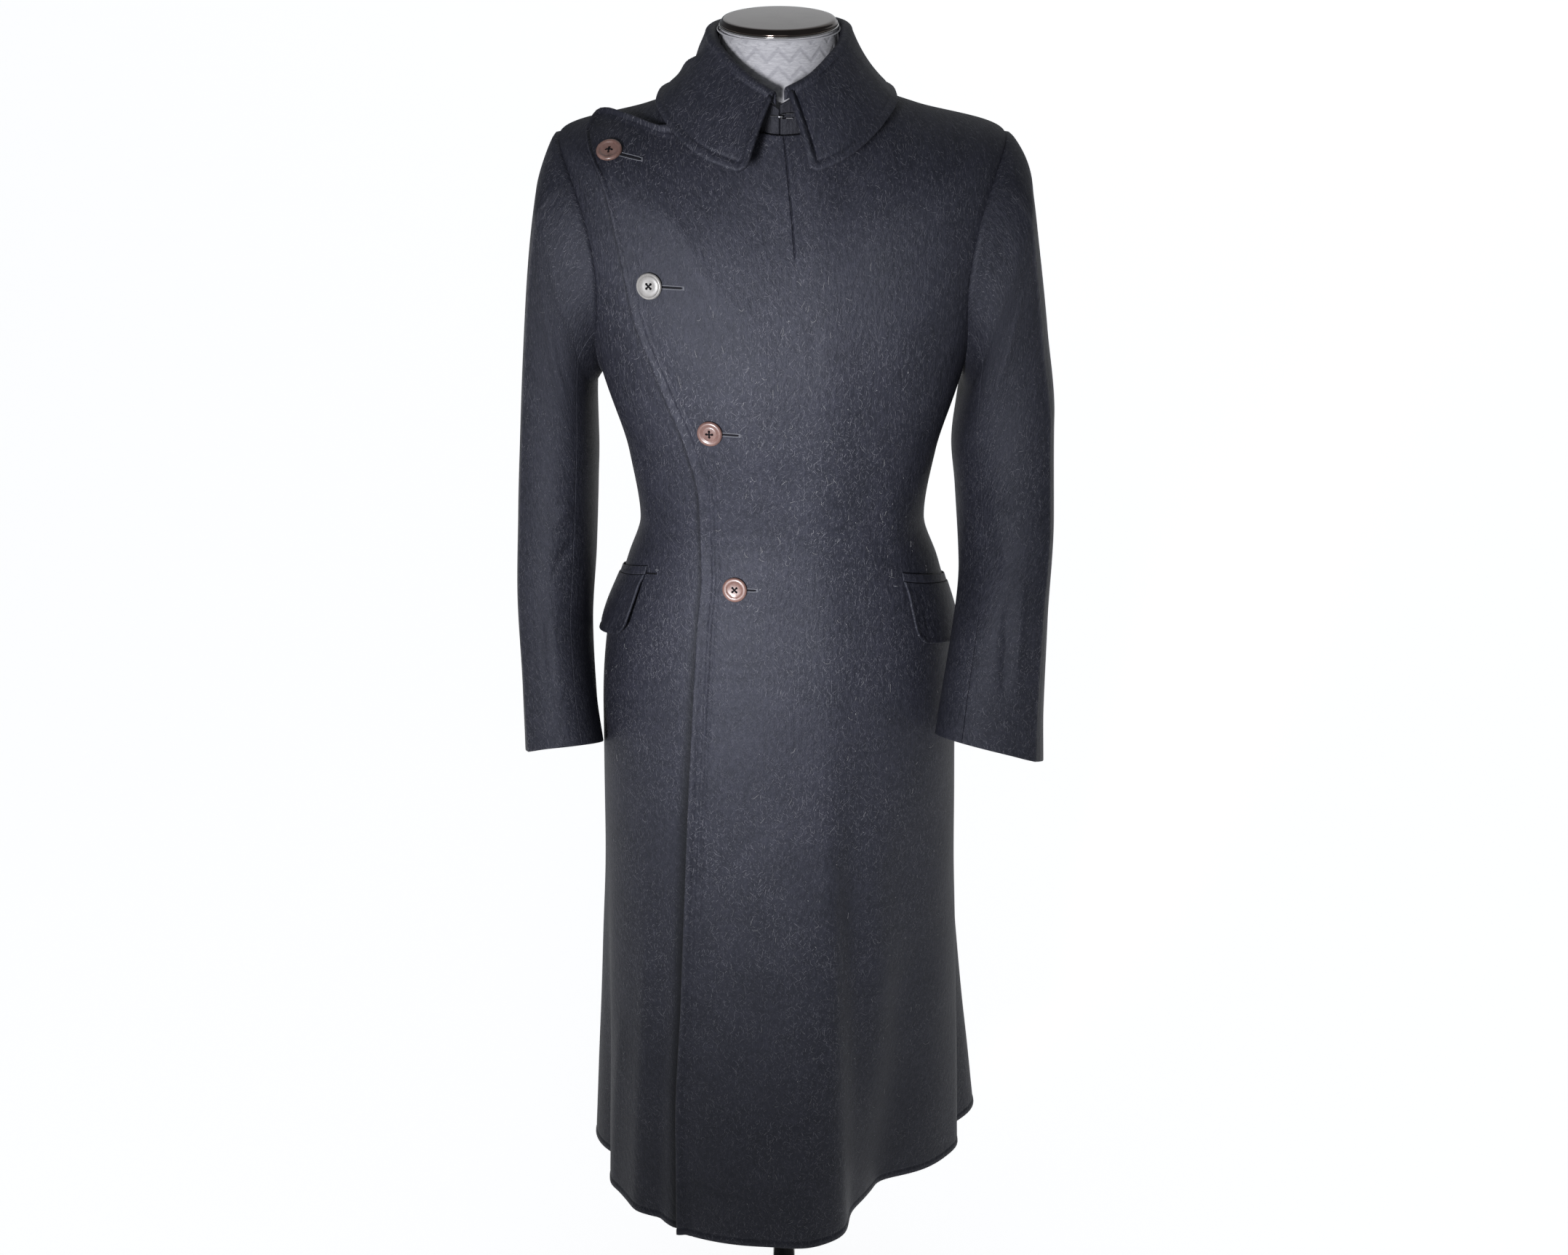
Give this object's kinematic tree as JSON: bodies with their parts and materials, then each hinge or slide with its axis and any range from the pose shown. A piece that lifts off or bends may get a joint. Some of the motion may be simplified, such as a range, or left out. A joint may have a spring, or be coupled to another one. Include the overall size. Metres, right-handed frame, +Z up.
{
  "type": "military greatcoat on a dress form",
  "caption": "Long slant-buttoned wool greatcoat with a pointed fall collar and pocket flaps, worn by a limbless dress form on a round-based stand.",
  "frame": {"origin": "centre of the stand's underside, on the floor", "axes": "+Z up; the coat faces -Y; the wearer's left is at +X"},
  "size_m": [0.5577, 0.4241, 1.646],
  "materials": {
    "wool": "heavy dark milled wool",
    "stand_cloth": "black under-collar wool",
    "button": "polished brown",
    "button_pale": "polished grey-white",
    "hook_steel": "bright wire",
    "form_cover": "pale stretch cover",
    "chrome": "polished",
    "stand_paint": "satin black"
  },
  "bodies": {
    "root": {"front_left": "wool", "front_right": "wool", "back_left": "wool", "back_right": "wool", "upper_sleeve_left": "wool", "upper_sleeve_right": "wool", "under_sleeve_left": "wool", "under_sleeve_right": "wool", "collar_fall": "wool", "collar_stand": "stand_cloth", "collar_hook": "hook_steel", "collar_eye": "hook_steel", "pocket_flap_left": "wool", "pocket_flap_right": "wool", "pocket_welt_left": "wool", "pocket_welt_right": "wool", "button_1": "button", "button_2": "button_pale", "button_3": "button", "button_4": "button", "form_torso": "form_cover", "form_neck_cap": "chrome", "stand_pole": "chrome", "stand_base": "stand_paint"}
  },
  "joints": []
}
